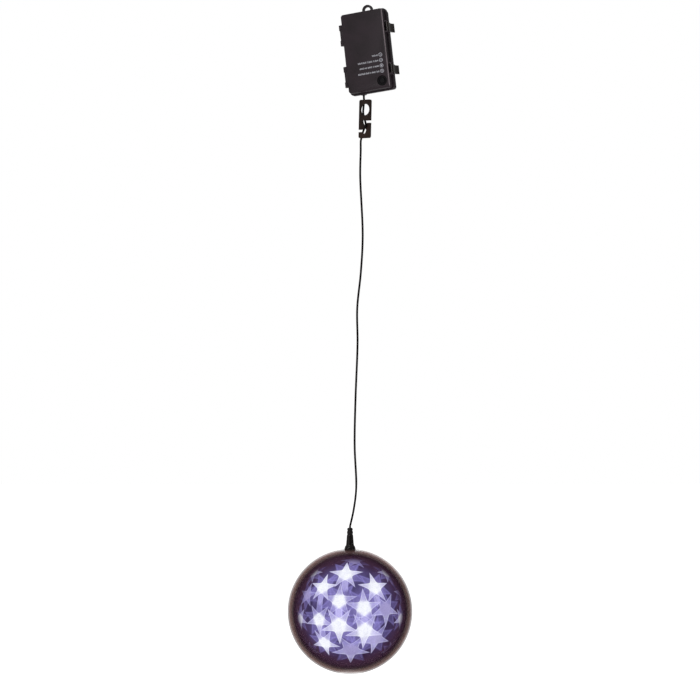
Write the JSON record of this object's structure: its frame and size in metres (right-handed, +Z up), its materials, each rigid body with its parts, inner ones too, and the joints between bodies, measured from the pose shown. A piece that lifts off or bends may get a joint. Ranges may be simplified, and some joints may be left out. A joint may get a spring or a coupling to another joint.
{
  "type": "hanging star-effect ball light",
  "caption": "Battery-powered hanging ball light: a smoked clear ball lined with star-effect film hangs by a thin cable with a cord hook from a latched battery case with a loop and a button.",
  "frame": {"origin": "the ball's lowest point, on the ball's axis", "axes": "+Z up, along the hanging cable; -Y towards the side the case's button faces; +X to the right as seen from there"},
  "size_m": [0.15, 0.15, 0.8063],
  "materials": {
    "case_black": "fine texture",
    "latch_black": "smooth",
    "hook_black": "smooth",
    "soft_rubber": "matt",
    "cable_sheath": "satin",
    "smoked_clear": "polished clear plastic, smoked",
    "film": "embossed light-spreading film",
    "frosted": "frosted plastic",
    "board_green": "solder mask",
    "chip_black": "moulded",
    "steel": "plain",
    "brass": "plain",
    "cell_wrap": null,
    "white_plastic": "smooth",
    "lamp_clear": "clear epoxy, lit"
  },
  "bodies": {
    "case": {"rear_housing": "case_black", "gasket": "soft_rubber", "hinge_pin_upper": "steel", "hinge_pin_lower": "steel", "control_board": "board_green", "board_screw_1": "steel", "board_screw_2": "steel", "tact_switch": "steel", "timer_chip": "chip_black", "timer_crystal": "steel", "capacitor": "chip_black", "cell_1": "cell_wrap", "cell_2": "cell_wrap", "cell_3": "cell_wrap", "contact_spring_1": "steel", "contact_spring_2": "steel", "contact_spring_3": "steel", "contact_plate_1": "brass", "contact_plate_2": "brass", "contact_plate_3": "brass", "cable_grommet": "soft_rubber", "cable_tail": "cable_sheath"},
    "cover": {"front_cover": "case_black", "latch_pin_upper": "steel", "latch_pin_lower": "steel"},
    "upper_latch": {"latch_upper": "latch_black"},
    "lower_latch": {"latch_lower": "latch_black"},
    "button": {"button_cap": "soft_rubber"},
    "plunger": {"switch_plunger": "chip_black"},
    "cable": {"cable_upper": "cable_sheath", "cable_lower": "cable_sheath"},
    "hook": {"cord_hook": "hook_black", "cable_weave": "cable_sheath"},
    "boot": {"cable_boot": "soft_rubber"},
    "ball": {"shell_upper": "smoked_clear", "shell_lower": "smoked_clear", "neck_collar": "smoked_clear", "film_ring": "frosted", "film_upper": "film", "film_lower": "film", "lamp_stem": "white_plastic", "lamp_lead": "cable_sheath", "lamp_hub": "white_plastic", "led_01": "lamp_clear", "led_02": "lamp_clear", "led_03": "lamp_clear", "led_04": "lamp_clear", "led_05": "lamp_clear", "led_06": "lamp_clear", "led_07": "lamp_clear", "led_08": "lamp_clear", "led_09": "lamp_clear", "led_10": "lamp_clear", "led_11": "lamp_clear", "led_12": "lamp_clear"}
  },
  "joints": [
    {"name": "cover_hinge", "type": "hinge", "parent": "case", "child": "cover", "pos_m": [-0.00668, 0.00327, 0.74384], "axis": [0.1074, -0.0762, -0.9913], "range_deg": [0, 110]},
    {"name": "upper_latch_swing", "type": "hinge", "parent": "cover", "child": "upper_latch", "pos_m": [0.0445, -0.02345, 0.77716], "axis": [0.1074, -0.0762, -0.9913], "range_deg": [0, 100]},
    {"name": "lower_latch_swing", "type": "hinge", "parent": "cover", "child": "lower_latch", "pos_m": [0.04998, -0.02734, 0.7266], "axis": [0.1074, -0.0762, -0.9913], "range_deg": [0, 100]},
    {"name": "button_press", "type": "slide", "parent": "cover", "child": "button", "axis": [0.346, 0.9376, -0.0346], "range_m": [0, 0.0007], "stiffness_N_per_m": 400},
    {"name": "plunger_press", "type": "slide", "parent": "case", "child": "plunger", "axis": [0.346, 0.9376, -0.0346], "range_m": [0, 0.0007]},
    {"name": "cable_swing", "type": "hinge", "parent": "case", "child": "cable", "pos_m": [0.0167, 0, 0.69545], "axis": [0, 1, 0], "range_deg": [-20, 20], "stiffness_Nm_per_rad": 0.5, "springref_deg": 3.78},
    {"name": "hook_slide", "type": "slide", "parent": "cable", "child": "hook", "axis": [0, 0, -1], "range_m": [0, 0.03], "stiffness_N_per_m": 10, "springref_m": -0.00169, "deforming": ["cable_upper", "cable_lower"]},
    {"name": "ball_swing", "type": "hinge", "parent": "cable", "child": "boot", "pos_m": [0, 0, 0.17735], "axis": [1, 0, 0], "range_deg": [-20, 20]},
    {"name": "ball_turn", "type": "hinge", "parent": "boot", "child": "ball", "pos_m": [0, 0, 0.15], "axis": [0, 0, 1], "range_deg": [-180, 180]}
  ],
  "couplings": [
    {"joint": "plunger_press", "follows": "button_press", "ratio": 1}
  ]
}
